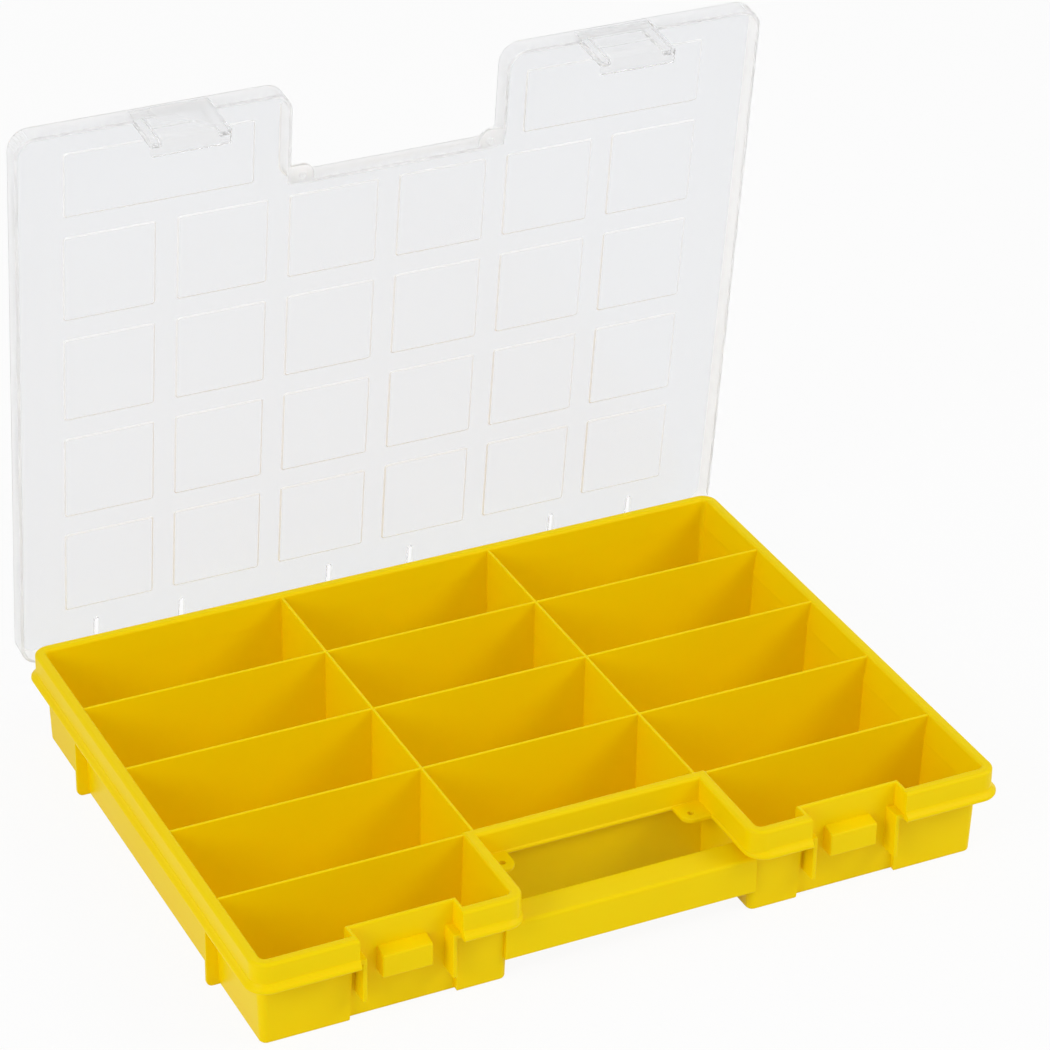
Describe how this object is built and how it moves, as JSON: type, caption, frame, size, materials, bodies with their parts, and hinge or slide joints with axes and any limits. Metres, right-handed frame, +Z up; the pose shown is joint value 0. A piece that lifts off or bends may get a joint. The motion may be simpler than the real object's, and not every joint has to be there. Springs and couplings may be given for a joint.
{
  "type": "compartment parts box",
  "caption": "Flat carrying case for small parts: an opaque tray with fixed compartments, a front handle in a notch, and a hinged clear lid with snap latch tabs.",
  "frame": {"origin": "middle of the bottom, in the plane the box stands on, under the centre of the rim", "axes": "+X to the right along the front, +Y to the back towards the hinges, +Z up"},
  "size_m": [0.37, 0.301, 0.3241],
  "materials": {
    "base_plastic": "satin moulded",
    "lid_plastic": "clear moulded"
  },
  "bodies": {
    "base": {"base_tray": "base_plastic", "left_column_divider": "base_plastic", "right_column_divider": "base_plastic", "left_row_divider_1": "base_plastic", "middle_row_divider_1": "base_plastic", "right_row_divider_1": "base_plastic", "left_row_divider_2": "base_plastic", "middle_row_divider_2": "base_plastic", "right_row_divider_2": "base_plastic", "left_row_divider_3": "base_plastic", "middle_row_divider_3": "base_plastic", "right_row_divider_3": "base_plastic", "left_front_divider": "base_plastic", "right_front_divider": "base_plastic", "carry_handle": "base_plastic", "left_latch_catch": "base_plastic", "left_outer_latch_guard": "base_plastic", "left_inner_latch_guard": "base_plastic", "left_front_side_rib": "base_plastic", "left_back_side_rib": "base_plastic", "left_base_lug": "base_plastic", "right_latch_catch": "base_plastic", "right_outer_latch_guard": "base_plastic", "right_inner_latch_guard": "base_plastic", "right_front_side_rib": "base_plastic", "right_back_side_rib": "base_plastic", "right_base_lug": "base_plastic", "left_hinge_ears": "base_plastic", "left_hinge_pin": "base_plastic", "middle_hinge_ears": "base_plastic", "middle_hinge_pin": "base_plastic", "right_hinge_ears": "base_plastic", "right_hinge_pin": "base_plastic"},
    "lid": {"lid_panel": "lid_plastic", "left_hinge_clip": "lid_plastic", "middle_hinge_clip": "lid_plastic", "right_hinge_clip": "lid_plastic", "left_lid_lug": "lid_plastic", "right_lid_lug": "lid_plastic"},
    "left_latch": {"left_latch_tab": "lid_plastic"},
    "right_latch": {"right_latch_tab": "lid_plastic"}
  },
  "joints": [
    {"name": "lid_hinge", "type": "hinge", "parent": "base", "child": "lid", "pos_m": [0, 0.1445, 0.0374], "axis": [1, 0, 0], "range_deg": [-16.7, 83.3]},
    {"name": "left_latch_flex", "type": "hinge", "parent": "lid", "child": "left_latch", "pos_m": [-0.11, 0.12225, 0.32321], "axis": [-1, 0, 0], "range_deg": [0, 12], "stiffness_Nm_per_rad": 0.1},
    {"name": "right_latch_flex", "type": "hinge", "parent": "lid", "child": "right_latch", "pos_m": [0.11, 0.12225, 0.32321], "axis": [-1, 0, 0], "range_deg": [0, 12], "stiffness_Nm_per_rad": 0.1}
  ]
}
